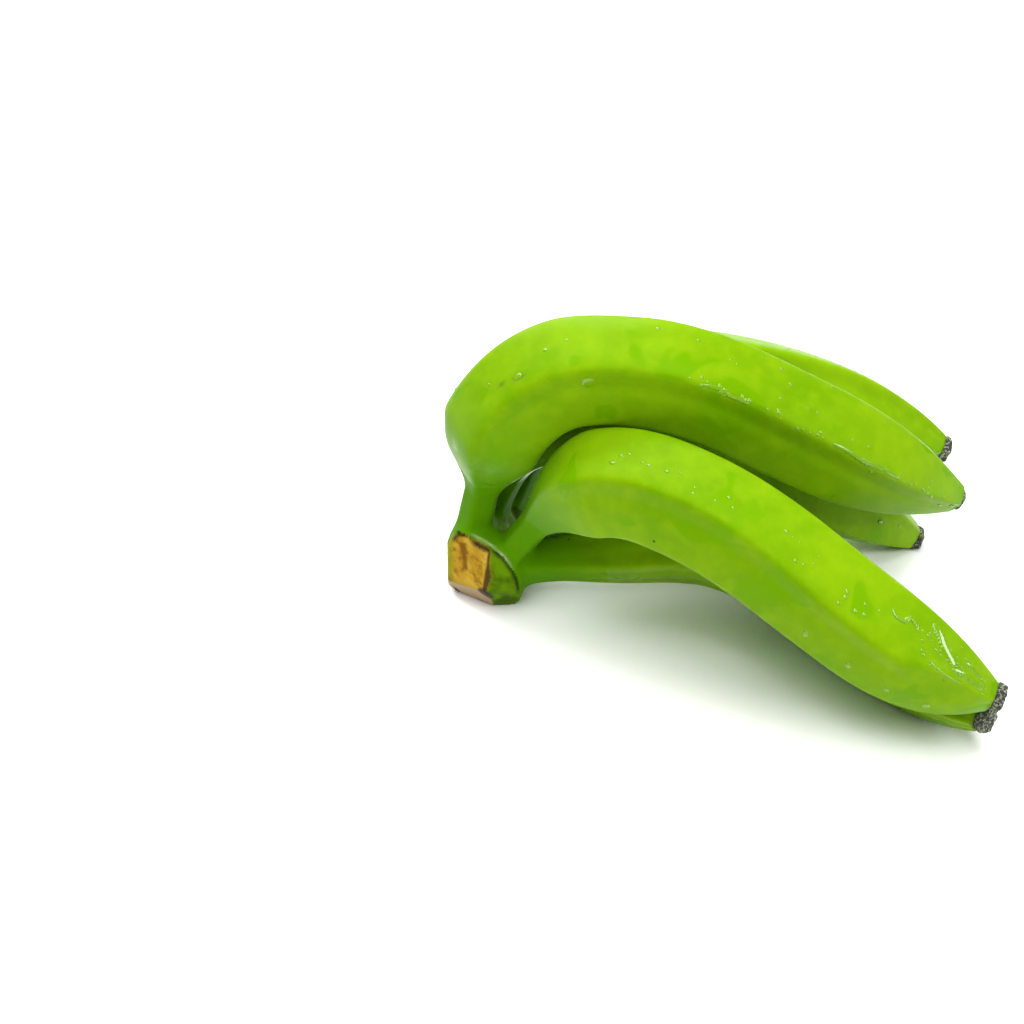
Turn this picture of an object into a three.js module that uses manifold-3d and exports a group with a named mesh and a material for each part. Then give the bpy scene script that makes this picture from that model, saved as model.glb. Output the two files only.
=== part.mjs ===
// A hand of five green plantains on one cut crown, as it lies on a table.
// Millimetres, +Z up. The model is laid out from the foot of the crown and then
// moved so that the origin is the middle of the bounding box, on the table.
import * as THREE from "three";
import { mergeVertices } from "three/addons/utils/BufferGeometryUtils.js";
import Module from "manifold-3d";

const wasm = await Module();
wasm.setup();

// Driving dimensions

// from the foot of the crown to the origin of the part
const ORIGIN_SHIFT = [-90.8, -0.1, 0];

// gap where one piece is seated in, or lies on, its neighbour
const GAP = 0.3;

// where along a finger its direction and its roll are given, as shares of its length
const CLIMB_AT = [0, 0.13, 0.27, 0.42, 0.68, 1];
const HEADING_AT = [0, 0.2, 0.42, 0.7, 1];
const ROLL_AT = [0, 0.25, 0.5, 0.75, 1];

// Five soft faces round a finger: direction in degrees from the far side, and
// how far out the face lies against the others. 90 is the hollow of the bend.
const FACES = [[-90, 1.0], [-18, 0.97], [54, 0.95], [126, 0.98], [198, 0.96]];
const SHARPNESS = 7;
const SIDES = 30;
const RINGS = 32;
// how much closer rings lie together near both ends of a finger
const RING_CROWDING = 0.045;
const SPINE_STEPS = 120;

// root: where the neck starts in the crown. climb: degrees above the table.
// heading: degrees from +X towards +Y, away from the viewer. hump: how far the
// shoulder bulges outwards. roll: turns the five faces round the finger.
// dried: length of the dried flower left on the tip.
const FINGERS = {
  top: {
    root: [-5, 8, 21.5], length: 261, girth: 39, shoulder: 57, neck: 27, neckRadius: 6.5,
    taper: 74, taperPower: 2.3, tipRadius: 6, hump: 3, dried: 1.5,
    climb: [82, 77, 54, 0, -30, -28], heading: [-4, 4, -4, 3, 8], roll: [-24, -19, -10, -31, -42],
  },
  inner: {
    root: [-1.5, 21, 15.5], length: 223, girth: 35, shoulder: 102, neck: 35, neckRadius: 7,
    taper: 73, taperPower: 2.4, tipRadius: 6, hump: 0.5, dried: 4,
    climb: [77, 66, 17, -8, -31, -35], heading: [6, 0, 3, 8, 7], roll: [1, 4, 3, 9, 7],
  },
  back: {
    root: [5.5, 34, 12.5], length: 230, girth: 38.5, shoulder: 90, neck: 26, neckRadius: 7,
    taper: 84, taperPower: 2.4, tipRadius: 6, hump: 0.5, dried: 4,
    climb: [71, 63, 26, -12, -18, -26], heading: [13, 29, 20, 4, -3], roll: [-4, -4, -9, -7, -5],
  },
  front: {
    root: [6, 1, 19], length: 232, girth: 39, shoulder: 70, neck: 25, neckRadius: 6,
    taper: 73, taperPower: 3, tipRadius: 6, hump: 1, dried: 4,
    climb: [57, 58, 34, -6, -25, -16], heading: [-37, -23, -29, -29, -13], roll: [7, 24, 17, 9, 10],
  },
  under: {
    root: [11, 1.5, 17.5], length: 206, girth: 37.5, shoulder: 72, neck: 10, neckRadius: 8,
    taper: 77, taperPower: 2.3, tipRadius: 6, hump: 0, dried: 4,
    climb: [14, 6, 14, -5, -12, 5], heading: [0, 5, -22, -49, -47], roll: [18, 6, 9, 12, 2],
  },
};

// a neck begins this deep in the crown, behind its root, and flares as it leaves it
const ROOT_DEPTH = 9;
const FLARE = 2;
const FLARE_LENGTH = 8;
// the hump fades out over this many shoulder lengths beyond the shoulder
const HUMP_FADE = 1.1;
// the skin's rounded rim at the tip: how far it reaches past the end, and its share of the radius
const RIM_LENGTH = 1.2;
const RIM_SHARE = 0.8;

// Dried flower: radius, how ragged its wall and its end are, and its rings as
// share of its length and share of its radius.
const DRIED_RADIUS = 5.6;
const DRIED_RAGGED = 0.16;
const DRIED_END_RAGGED = 0.18;
const DRIED_SIDES = 14;
const DRIED_RINGS = [[0, 0.78], [0.25, 0.98], [0.6, 1.04], [0.85, 0.86], [1, 0.5]];

// Crown: its outline seen from the front as x, z; where it begins and ends from front
// to back; how much smaller its far end is, and how far that end lies to the right.
const CROWN_OUTLINE = [[-11, 33], [-4, 34.5], [3, 34], [8, 30], [11.5, 24], [13.5, 18], [14.2, 10], [13.5, 2],
  [9, -2], [0, -2], [-10, -1], [-14.5, 5], [-16, 14], [-15.5, 25]];
const OUTLINE_SPANS = 3;
const CROWN_MIDDLE = [-1, 10];
const CROWN_FRONT = -9.5;
const CROWN_BACK = 43;
const CROWN_BACK_SHARE = 0.7;
const CROWN_BACK_SHIFT = 5;
// where its rings stand as shares of its depth, and how its two ends round off
const CROWN_RINGS = [0, 0.01, 0.05, 0.15, 0.3, 0.45, 0.6, 0.72, 0.82, 0.9, 0.96, 1];
const FRONT_ROUND = { share: 0.06, drop: 0.1 };
const BACK_ROUND = { from: 0.6, drop: 0.75 };
// flat cuts: a point on each and the way it looks; two by the knife, then the underside
const CUTS = [
  { at: [-2, -8, 12], look: [-0.645, -0.76, 0.08] },
  { at: [-2, -8, 12], look: [-0.467, -0.745, -0.478] },
  { at: [8, -3, 0], look: [0.1, -0.88, -0.46] },
];

// Shared mathematics

const radians = (degrees) => (degrees * Math.PI) / 180;
const clamp = (x) => Math.min(Math.max(x, 0), 1);
const smooth = (x) => {
  const t = clamp(x);
  return t * t * (3 - 2 * t);
};

// A curve through the given values that does not overshoot them.
function curve(xs, ys) {
  const n = xs.length;
  const h = xs.slice(1).map((x, i) => x - xs[i]);
  const d = h.map((w, i) => (ys[i + 1] - ys[i]) / w);
  const endSlope = (h0, h1, d0, d1) => {
    const m = ((2 * h0 + h1) * d0 - h0 * d1) / (h0 + h1);
    if (Math.sign(m) !== Math.sign(d0)) return 0;
    if (Math.sign(d0) !== Math.sign(d1) && Math.abs(m) > 3 * Math.abs(d0)) return 3 * d0;
    return m;
  };
  const m = ys.map((_, i) => {
    if (i === 0) return endSlope(h[0], h[1], d[0], d[1]);
    if (i === n - 1) return endSlope(h[n - 2], h[n - 3], d[n - 2], d[n - 3]);
    if (d[i - 1] * d[i] <= 0) return 0;
    const w1 = 2 * h[i] + h[i - 1];
    const w2 = h[i] + 2 * h[i - 1];
    return (w1 + w2) / (w1 / d[i - 1] + w2 / d[i]);
  });
  return (x) => {
    let i = 0;
    while (i < n - 2 && x > xs[i + 1]) i += 1;
    const t = (x - xs[i]) / h[i];
    return ys[i] * (1 + 2 * t) * (1 - t) ** 2 + m[i] * h[i] * t * (1 - t) ** 2
      + ys[i + 1] * t * t * (3 - 2 * t) + m[i + 1] * h[i] * t * t * (t - 1);
  };
}

// Closed solid through rings of the same number of points, capped at both ends.
function loft(rings) {
  const sides = rings[0].length;
  const positions = rings.flatMap((ring) => ring.flatMap((p) => [p.x, p.y, p.z]));
  const index = [];
  for (let i = 0; i < rings.length - 1; i += 1) {
    for (let j = 0; j < sides; j += 1) {
      const a = i * sides + j;
      const b = i * sides + ((j + 1) % sides);
      index.push(a, b, b + sides, a, b + sides, a + sides);
    }
  }
  for (const [ring, flip] of [[0, true], [rings.length - 1, false]]) {
    const middle = rings[ring].reduce((m, p) => m.add(p), new THREE.Vector3()).divideScalar(sides);
    const centre = positions.length / 3;
    positions.push(middle.x, middle.y, middle.z);
    for (let j = 0; j < sides; j += 1) {
      const a = ring * sides + j;
      const b = ring * sides + ((j + 1) % sides);
      index.push(...(flip ? [b, a, centre] : [a, b, centre]));
    }
  }
  const geometry = new THREE.BufferGeometry();
  geometry.setAttribute("position", new THREE.Float32BufferAttribute(positions, 3));
  geometry.setIndex(index);
  return geometry;
}

// A closed geometry as a solid that can be joined and cut.
function toSolid(geometry) {
  geometry.deleteAttribute("normal");
  geometry.deleteAttribute("uv");
  const merged = mergeVertices(geometry, 1e-4);
  return new wasm.Manifold(new wasm.Mesh({
    numProp: 3,
    vertProperties: new Float32Array(merged.attributes.position.array),
    triVerts: new Uint32Array(merged.index.array),
  }));
}

// A large block that begins at a point and lies on the side it looks to.
function slabBeyond(at, look) {
  const size = 600;
  const block = new THREE.BoxGeometry(size, size, size);
  block.translate(0, 0, size / 2);
  block.applyQuaternion(new THREE.Quaternion().setFromUnitVectors(new THREE.Vector3(0, 0, 1), look));
  block.translate(at.x, at.y, at.z);
  return toSolid(block);
}

// Finger

// how far the neck has opened into the shoulder at distance s from the root, from 0 to 1
const opening = (finger, s) => smooth((s - finger.neck) / (finger.shoulder - finger.neck));

// Points along a finger with its directions: along, side and hollow (the inside of the bend).
function spine(finger) {
  const steps = SPINE_STEPS;
  const climb = curve(CLIMB_AT, finger.climb);
  const heading = curve(HEADING_AT, finger.heading);
  const along = [];
  for (let i = 0; i <= steps; i += 1) {
    const e = radians(climb(i / steps));
    const a = radians(heading(i / steps));
    along.push(new THREE.Vector3(Math.cos(e) * Math.cos(a), Math.cos(e) * Math.sin(a), Math.sin(e)));
  }
  const points = [new THREE.Vector3(...finger.root)];
  for (let i = 1; i <= steps; i += 1) {
    const middle = along[i].clone().add(along[i - 1]).multiplyScalar(finger.length / steps / 2);
    points.push(points[i - 1].clone().add(middle));
  }
  const side = along[0].clone().cross(along[steps]);
  return along.map((t, i) => {
    side.addScaledVector(t, -side.dot(t)).normalize();
    const hollow = side.clone().cross(t);
    const s = (i / steps) * finger.length;
    const fall = 1 - smooth((s - finger.shoulder) / (HUMP_FADE * finger.shoulder));
    const at = points[i].clone().addScaledVector(hollow, -finger.hump * opening(finger, s) * fall);
    return { at, along: t, side: side.clone(), hollow };
  });
}

// The directions of a finger at a share of its length, between two points of its spine.
function frameAt(frames, share) {
  const k = share * (frames.length - 1);
  const i = Math.min(Math.floor(k), frames.length - 2);
  const between = (what) => frames[i][what].clone().lerp(frames[i + 1][what], k - i);
  return { at: between("at"), side: between("side").normalize(), hollow: between("hollow").normalize() };
}

// Mean radius of a finger at distance s from its root.
function radiusAt(finger, s) {
  const full = finger.girth / 2;
  const narrowing = clamp((s - (finger.length - finger.taper)) / finger.taper) ** finger.taperPower;
  return finger.neckRadius + (full - finger.neckRadius) * opening(finger, s)
    + FLARE * Math.exp(-s / FLARE_LENGTH) - (full - finger.tipRadius) * narrowing;
}

// The five-sided section as pairs of direction and reach; a point lies on every face and ridge.
function sectionShape() {
  const reach = (theta) => {
    let sum = 0;
    for (const [angle, out] of FACES) {
      const c = Math.cos(theta - radians(angle)) / out;
      if (c > 0) sum += c ** SHARPNESS;
    }
    return sum ** (-1 / SHARPNESS);
  };
  const start = radians(FACES[0][0]);
  const angles = Array.from({ length: SIDES }, (_, j) => start - (2 * Math.PI * j) / SIDES);
  const reaches = angles.map(reach);
  const mean = reaches.reduce((a, b) => a + b) / SIDES;
  return angles.map((theta, j) => [theta, reaches[j] / mean]);
}
const SECTION = sectionShape();

// One finger without its crown; grow makes it thicker all round, for clearances.
function fingerSolid(finger, grow = 0) {
  const frames = spine(finger);
  const roll = curve(ROLL_AT, finger.roll);
  const place = (frame, theta, out) => frame.at.clone()
    .addScaledVector(frame.side, out * Math.cos(theta))
    .addScaledVector(frame.hollow, out * Math.sin(theta));
  const rings = Array.from({ length: RINGS }, (_, i) => {
    const t = i / (RINGS - 1);
    const share = clamp(t - RING_CROWDING * Math.sin(2 * Math.PI * t));
    const frame = frameAt(frames, share);
    const turn = radians(roll(share));
    const r = radiusAt(finger, share * finger.length);
    return SECTION.map(([theta, reach]) => place(frame, theta + turn, r * reach + grow));
  });
  const end = frames[frames.length - 1];
  const rimFrame = { ...end, at: end.at.clone().addScaledVector(end.along, RIM_LENGTH + grow) };
  const endTurn = radians(roll(1));
  rings.push(SECTION.map(([theta]) => place(rimFrame, theta + endTurn, finger.tipRadius * RIM_SHARE + grow)));
  rings.unshift(rings[0].map((p) => p.clone().addScaledVector(frames[0].along, -ROOT_DEPTH)));
  return toSolid(loft(rings));
}

// The dried flower end: a short ragged stub just off the tip.
function driedEnd(finger, seed) {
  const frames = spine(finger);
  const end = frames[frames.length - 1];
  const rings = DRIED_RINGS.map(([share, wide], i) => Array.from({ length: DRIED_SIDES }, (_, j) => {
    const theta = (-2 * Math.PI * j) / DRIED_SIDES;
    const rough = i > 0 ? DRIED_RAGGED * Math.sin(3.1 * j + 1.7 * i + seed) : 0;
    const out = DRIED_RADIUS * wide * (1 + rough);
    const far = share * finger.dried * (1 + DRIED_END_RAGGED * share * Math.sin(2.3 * j + seed));
    return end.at.clone().addScaledVector(end.along, RIM_LENGTH + GAP + far)
      .addScaledVector(end.side, out * Math.cos(theta))
      .addScaledVector(end.hollow, out * Math.sin(theta));
  }));
  return toSolid(loft(rings));
}

// Crown

// The crown's outline with rounded corners between its given points.
function crownOutline() {
  const count = CROWN_OUTLINE.length;
  return CROWN_OUTLINE.flatMap((_, i) => {
    const [p0, p1, p2, p3] = [-1, 0, 1, 2].map((k) => CROWN_OUTLINE[(i + k + count) % count]);
    return Array.from({ length: OUTLINE_SPANS }, (__, k) => {
      const t = k / OUTLINE_SPANS;
      return [0, 1].map((c) => 0.5 * (2 * p1[c] + (p2[c] - p0[c]) * t
        + (2 * p0[c] - 5 * p1[c] + 4 * p2[c] - p3[c]) * t * t
        + (3 * p1[c] - p0[c] - 3 * p2[c] + p3[c]) * t * t * t));
    });
  });
}

// How wide the crown is at a share of its depth, against its outline.
function crownWidth(share) {
  const front = 1 - clamp(share / FRONT_ROUND.share);
  const back = clamp((share - BACK_ROUND.from) / (1 - BACK_ROUND.from));
  return (1 - FRONT_ROUND.drop * (1 - Math.sqrt(1 - front ** 2)))
    * (1 - (1 - CROWN_BACK_SHARE) * smooth(share)) * Math.sqrt(1 - BACK_ROUND.drop * back ** 3);
}

// The crown with its knife cuts; grow moves every face out, for clearances.
function crownSolid(grow = 0) {
  const outline = crownOutline();
  const rings = CROWN_RINGS.map((share) => {
    const wide = crownWidth(share);
    const right = CROWN_BACK_SHIFT * smooth(share);
    const y = CROWN_FRONT - grow + share * (CROWN_BACK - CROWN_FRONT + 2 * grow);
    return outline.map(([x, z]) => {
      const dx = (x - CROWN_MIDDLE[0]) * wide;
      const dz = (z - CROWN_MIDDLE[1]) * wide;
      const out = 1 + grow / Math.hypot(dx, dz);
      return new THREE.Vector3(CROWN_MIDDLE[0] + right + dx * out, y, CROWN_MIDDLE[1] + dz * out);
    });
  });
  let solid = toSolid(loft(rings));
  for (const cut of CUTS) {
    const look = new THREE.Vector3(...cut.look).normalize();
    solid = solid.subtract(slabBeyond(new THREE.Vector3(...cut.at).addScaledVector(look, grow), look));
  }
  return solid;
}

// Assembly

function toMesh(solid, name, material) {
  const mesh = solid.getMesh();
  let geometry = new THREE.BufferGeometry();
  geometry.setAttribute("position", new THREE.BufferAttribute(new Float32Array(mesh.vertProperties), 3));
  geometry.setIndex(new THREE.BufferAttribute(new Uint32Array(mesh.triVerts), 1));
  geometry = mergeVertices(geometry, 1e-4);
  geometry.computeVertexNormals();
  const node = new THREE.Mesh(geometry, material);
  node.name = name;
  return node;
}

const finish = (color, roughness) => new THREE.MeshStandardMaterial({ color, roughness, metalness: 0 });
const CROWN_COLOUR = "#6f9a14";
const FINGER_COLOURS = { top: "#8fd011", back: "#86c60f", front: "#8bcc10", under: "#74b00c", inner: "#6ba60c" };
const DRIED_COLOUR = "#3c3a33";
const SKIN_ROUGHNESS = 0.4;
const DRIED_ROUGHNESS = 0.95;

// whatever reaches below the table is flattened, so the hand rests on flat spots
const table = slabBeyond(new THREE.Vector3(0, 0, 0), new THREE.Vector3(0, 0, -1));
const aboveTable = (solid) => solid.subtract(table);

const group = new THREE.Group();
const hand = new THREE.Group();
hand.position.set(...ORIGIN_SHIFT);
group.add(hand);

hand.add(toMesh(aboveTable(crownSolid()), "crown", finish(CROWN_COLOUR, SKIN_ROUGHNESS)));

// each finger is cut back from the crown and from the fingers placed before it
const seat = crownSolid(GAP);
const placed = [];
Object.entries(FINGERS).forEach(([name, finger], place) => {
  let solid = aboveTable(fingerSolid(finger)).subtract(seat);
  for (const other of placed) solid = solid.subtract(fingerSolid(FINGERS[other], GAP));
  const whole = solid.decompose().sort((a, b) => b.volume() - a.volume())[0];
  placed.push(name);
  hand.add(toMesh(whole, `finger_${name}`, finish(FINGER_COLOURS[name], SKIN_ROUGHNESS)));
  const dried = aboveTable(driedEnd(finger, 1.3 * place));
  hand.add(toMesh(dried, `dried_end_${name}`, finish(DRIED_COLOUR, DRIED_ROUGHNESS)));
});

export default group;
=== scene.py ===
"""A hand of five green plantains on one cut crown, wet, on a white table.

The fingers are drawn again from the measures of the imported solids, with finer ridges,
and their necks flow into the crown. Shapes are worked out in millimetres in the frame
of the part and turned to metres when a mesh is made.
"""

import logging
import math
from dataclasses import dataclass, field
from enum import Enum
from typing import Any

import bpy
import numpy as np
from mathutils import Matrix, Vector, noise


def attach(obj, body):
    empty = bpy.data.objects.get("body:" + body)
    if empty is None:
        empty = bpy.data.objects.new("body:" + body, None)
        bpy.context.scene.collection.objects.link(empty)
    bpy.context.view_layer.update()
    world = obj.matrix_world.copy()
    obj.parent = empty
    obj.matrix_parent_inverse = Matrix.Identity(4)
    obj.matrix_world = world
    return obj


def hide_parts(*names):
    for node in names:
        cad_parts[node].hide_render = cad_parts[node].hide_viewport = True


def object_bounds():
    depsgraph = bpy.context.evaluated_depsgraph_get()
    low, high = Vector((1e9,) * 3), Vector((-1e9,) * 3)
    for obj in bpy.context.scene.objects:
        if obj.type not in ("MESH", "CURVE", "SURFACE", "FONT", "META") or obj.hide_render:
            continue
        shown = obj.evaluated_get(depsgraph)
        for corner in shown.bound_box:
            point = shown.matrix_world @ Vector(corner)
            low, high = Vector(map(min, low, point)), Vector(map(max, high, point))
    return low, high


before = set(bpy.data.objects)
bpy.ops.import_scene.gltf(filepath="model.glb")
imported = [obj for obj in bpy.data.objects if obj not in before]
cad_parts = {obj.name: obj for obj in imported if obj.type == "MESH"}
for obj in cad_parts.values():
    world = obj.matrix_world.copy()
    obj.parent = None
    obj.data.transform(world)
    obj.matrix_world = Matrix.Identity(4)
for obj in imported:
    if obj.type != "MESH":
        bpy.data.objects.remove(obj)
CAD_BOX = [list(corner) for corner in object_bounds()]

LOG = logging.getLogger("plantain_hand")

Array = np.ndarray
Tree = bpy.types.NodeTree
Socket = bpy.types.NodeSocket
Finish = bpy.types.Material

MM = 0.001

# from the foot of the crown to the origin of the part
ORIGIN_SHIFT = np.array([-90.8, -0.1, 0.0])

# gap where one finger lies on its neighbour
GAP = 0.3

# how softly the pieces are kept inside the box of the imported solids, in mm
BOX_SOFTNESS = 2.0

# where along a finger its direction and its roll are given, as shares of its length
CLIMB_AT = (0, 0.13, 0.27, 0.42, 0.68, 1)
HEADING_AT = (0, 0.2, 0.42, 0.7, 1)
ROLL_AT = (0, 0.25, 0.5, 0.75, 1)

# five soft faces round a finger: direction in degrees from the far side, and reach
FACES = ((-90, 1.0), (-18, 0.97), (54, 0.95), (126, 0.98), (198, 0.96))
# the ridges between them, and the direction of the bend's hollow
CORNERS = (-54, 18, 90, 162, 234)
HOLLOW = 90

# the skin's rounded rim at the tip: how far it reaches past the end, the share of the radius
# that is left there, and the angles of its rings
RIM_LENGTH = 1.2
RIM_SHARE = 0.8
RIM_ANGLES = (25, 50, 75, 90)

# how far beyond the neck its darker green begins to fade, and over what length
NECK_GREEN = 6
NECK_FADE = 42

# the sockets of a shader's mix node when it mixes colours
MIX_SHARE, MIX_UNDER, MIX_OVER, MIX_RESULT = 0, 6, 7, 2

# less than any length that matters, so that nothing is divided by 0
TINY = 1e-9


class Slot(Enum):
    """Names of the material slots for the peel, the crown's skin and the dried flower."""

    PEEL = "peel"
    CROWN = "crown_skin"
    DRIED = "dried_flower"


# Shared mathematics


def smooth(x: Array) -> Array:
    """Rises softly from 0 to 1 as x goes from 0 to 1."""
    t = np.clip(x, 0, 1)
    return t * t * (3 - 2 * t)


def past(x: Array, start: float, width: float) -> Array:
    """Rises softly from 0 at start to 1 a width further on."""
    return smooth((x - start) / width)


def short_of(x: Array, end: float, width: float) -> Array:
    """Falls softly from 1 a width before end to 0 at end."""
    return smooth((end - x) / width)


def bell(x: Array, width: float) -> Array:
    """A soft bump of height 1 at 0 that is down to a third at the given width."""
    return np.exp(-((x / width) ** 2))


def unit(v: Array) -> Array:
    """The vectors in the last axis at length 1."""
    return v / np.maximum(np.linalg.norm(v, axis=-1, keepdims=True), TINY)


def soft_min(a: Array, b: Array, width: Any) -> Array:
    """The lower of two distances, rounded where they are closer than width."""
    h = np.maximum(width - np.abs(a - b), 0) / width
    return np.minimum(a, b) - h * h * width / 4


def soft_max(a: Array, b: Array, width: Any) -> Array:
    """The higher of two distances, rounded where they are closer than width."""
    return -soft_min(-a, -b, width)


def lumps(points: Array, size: float, seed: float = 0.0) -> Array:
    """Smooth random relief between about -1 and 1.

    Args:
        points: Places in mm, one a row.
        size: Distance between lumps in mm.
        seed: Moves the pattern, so that each use differs.

    Returns:
        One value a point.
    """
    shifted = points / size + seed
    return np.array([noise.noise(Vector(p)) for p in shifted])


def slope(distance: Any, points: Array, here: Array, step: float = 0.05) -> Array:
    """The direction in which a distance, known here, grows fastest, at length 1."""
    grown = [distance(points + axis) - here for axis in np.eye(3) * step]
    return unit(np.stack(grown, axis=1))


def line_distance(points: Array, knots: Any, pieces: int = 80) -> tuple[Array, ...]:
    """How far points are from a line through knots.

    Args:
        points: Places in mm, one a row.
        knots: The line's corners in mm.
        pieces: How finely the line is divided.

    Returns:
        The distance, the way from the nearest place on the line, and where that lies
        along the line, from 0 to 1.
    """
    knots = np.array(knots, float)
    t = np.linspace(0, len(knots) - 1, pieces)
    i = np.minimum(t.astype(int), len(knots) - 2)
    f = (t - i)[:, None]
    line = knots[i] * (1 - f) + knots[i + 1] * f
    near = np.argmin((line**2).sum(axis=1) - 2 * points @ line.T, axis=1)
    away = points - line[near]
    return np.linalg.norm(away, axis=1), away, near / (pieces - 1)


class GentleCurve:
    """A curve through given values that does not overshoot them."""

    def __init__(self, xs: tuple, ys: tuple) -> None:
        """Works out the slope at each value.

        Args:
            xs: Where the values are given, rising.
            ys: The values.
        """
        self.x, self.y = np.array(xs, float), np.array(ys, float)
        self.h = np.diff(self.x)
        d = np.diff(self.y) / self.h
        self.m = np.zeros(len(xs))
        self.m[0] = self._end_slope(self.h[0], self.h[1], d[0], d[1])
        self.m[-1] = self._end_slope(self.h[-1], self.h[-2], d[-1], d[-2])
        for i in range(1, len(xs) - 1):
            if d[i - 1] * d[i] > 0:
                w1 = 2 * self.h[i] + self.h[i - 1]
                w2 = self.h[i] + 2 * self.h[i - 1]
                self.m[i] = (w1 + w2) / (w1 / d[i - 1] + w2 / d[i])

    @staticmethod
    def _end_slope(h0: float, h1: float, d0: float, d1: float) -> float:
        """The slope at an end, from the two spans next to it."""
        m = ((2 * h0 + h1) * d0 - h0 * d1) / (h0 + h1)
        if np.sign(m) != np.sign(d0):
            return 0.0
        if np.sign(d0) != np.sign(d1) and abs(m) > 3 * abs(d0):
            return 3 * d0
        return m

    def __call__(self, x: Array) -> Array:
        """The curve's values at x."""
        i = np.clip(np.searchsorted(self.x, x, side="right") - 1, 0, len(self.h) - 1)
        h, t = self.h[i], (x - self.x[i]) / self.h[i]
        return (
            self.y[i] * (1 + 2 * t) * (1 - t) ** 2
            + self.m[i] * h * t * (1 - t) ** 2
            + self.y[i + 1] * t * t * (3 - 2 * t)
            + self.m[i + 1] * h * t * t * (t - 1)
        )


# Meshes and nodes


def add_object(name: str, data: bpy.types.ID) -> bpy.types.Object:
    """Puts a new object with this mesh, light or camera in the scene."""
    added = bpy.data.objects.new(name, data)
    bpy.context.scene.collection.objects.link(added)
    return added


def make_piece(
    name: str,
    points: Array,
    faces: list,
    material: Finish,
    marks: dict[str, Array] | None = None,
) -> bpy.types.Object:
    """Makes a smooth-shaded piece of the part that rides on it.

    Args:
        name: The piece's name.
        points: Its vertices in mm, in the frame of the part.
        faces: Its faces, as rows of vertex numbers.
        material: Its finish.
        marks: Named values a vertex that the finish reads.

    Returns:
        The new object.
    """
    low, high = (np.array(corner) / MM for corner in CAD_BOX)
    # softly, so that no flat shows where a side is brought in; the table's side stays sharp
    inside = np.maximum(soft_min(points, high, BOX_SOFTNESS), low)
    inside[:, :2] = soft_max(inside[:, :2], low[:2], BOX_SOFTNESS)
    moved = np.abs(inside - points).max()
    LOG.info("%s: %d points, moved in by %.2f mm", name, len(points), moved)
    mesh = bpy.data.meshes.new(name)
    mesh.from_pydata((inside * MM).tolist(), [], faces)
    mesh.shade_smooth()
    for mark, values in (marks or {}).items():
        layer = mesh.attributes.new(mark, "FLOAT", "POINT")
        layer.data.foreach_set("value", np.asarray(values, np.float32))
    mesh.materials.append(material)
    piece = add_object(name, mesh)
    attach(piece, "root")
    return piece


def ring_faces(rings: int, sides: int, start: int = 0, closed: bool = True) -> list:
    """Quads between rings, or open rows, of vertices that follow each other."""
    i, j = np.meshgrid(np.arange(rings - 1), np.arange(sides - (not closed)), indexing="ij")
    a = start + i * sides + j
    b = start + i * sides + (j + 1) % sides
    quads = np.stack([a, b, b + sides, a + sides], axis=-1)
    return quads.reshape(-1, 4).tolist()


def tube_faces(rings: int, sides: int, start: int = 0) -> list:
    """Quads between rings that follow each other, and a lid on either end."""
    last = start + (rings - 1) * sides
    lids = [[start + j for j in reversed(range(sides))], [last + j for j in range(sides)]]
    return ring_faces(rings, sides, start) + lids


def linear(hex_colour: str) -> tuple[float, float, float, float]:
    """Turns an sRGB hex colour to the linear values that a shader takes."""
    values = [int(hex_colour[i : i + 2], 16) / 255 for i in (1, 3, 5)]
    turned = [v / 12.92 if v <= 0.04045 else ((v + 0.055) / 1.055) ** 2.4 for v in values]
    return (*turned, 1.0)


def set_inputs(tree: Tree, node: bpy.types.Node, inputs: dict) -> None:
    """Gives a node its values and links, by input name or number."""
    for key, value in inputs.items():
        if isinstance(value, Socket):
            tree.links.new(value, node.inputs[key])
        else:
            node.inputs[key].default_value = value


def add_node(tree: Tree, kind: str, inputs: dict, **settings: Any) -> bpy.types.Node:
    """Adds a shader node with its settings, values and links.

    Args:
        tree: The material's nodes.
        kind: The node's type.
        inputs: Values or other nodes' sockets by input name or number.
        **settings: The node's own properties.

    Returns:
        The new node.
    """
    node = tree.nodes.new(kind)
    for key, value in settings.items():
        setattr(node, key, value)
    set_inputs(tree, node, inputs)
    return node


def noise_of(tree: Tree, place: Any, size: float, **inputs: float) -> Any:
    """A noise whose lumps are about size metres apart."""
    values = {"Vector": place, "Scale": 1 / size, **inputs}
    return add_node(tree, "ShaderNodeTexNoise", values).outputs["Fac"]


def spread(tree: Tree, value: Any, span: tuple, to: tuple = (0.0, 1.0)) -> Any:
    """Turns the values of one span into those of another."""
    inputs = {"From Min": span[0], "From Max": span[1], "To Min": to[0], "To Max": to[1]}
    return add_node(tree, "ShaderNodeMapRange", {"Value": value, **inputs}).outputs[0]


def blend(tree: Tree, share: Any, under: Any, over: Any) -> Socket:
    """Lays one colour over another by a share."""
    inputs = {MIX_SHARE: share, MIX_UNDER: under, MIX_OVER: over}
    return add_node(tree, "ShaderNodeMix", inputs, data_type="RGBA").outputs[MIX_RESULT]


def mark_of(tree: Tree, mark: str) -> Socket:
    """A named value that the mesh has at each vertex."""
    return add_node(tree, "ShaderNodeAttribute", {}, attribute_name=mark).outputs["Fac"]


def relief_of(tree: Tree, height: Any, strength: float, depth: float) -> Any:
    """A surface raised by a noise, up to a depth in metres."""
    inputs = {"Height": height, "Strength": strength, "Distance": depth}
    return add_node(tree, "ShaderNodeBump", inputs).outputs["Normal"]


def new_finish(name: str) -> tuple[Finish, Tree]:
    """A new material and its nodes."""
    material = bpy.data.materials.new(name)
    material.use_nodes = True
    return material, material.node_tree


def set_shader(material: Finish, inputs: dict) -> Finish:
    """Gives a material's main shader its values and links."""
    set_inputs(material.node_tree, material.node_tree.nodes["Principled BSDF"], inputs)
    return material


# Finishes


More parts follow.
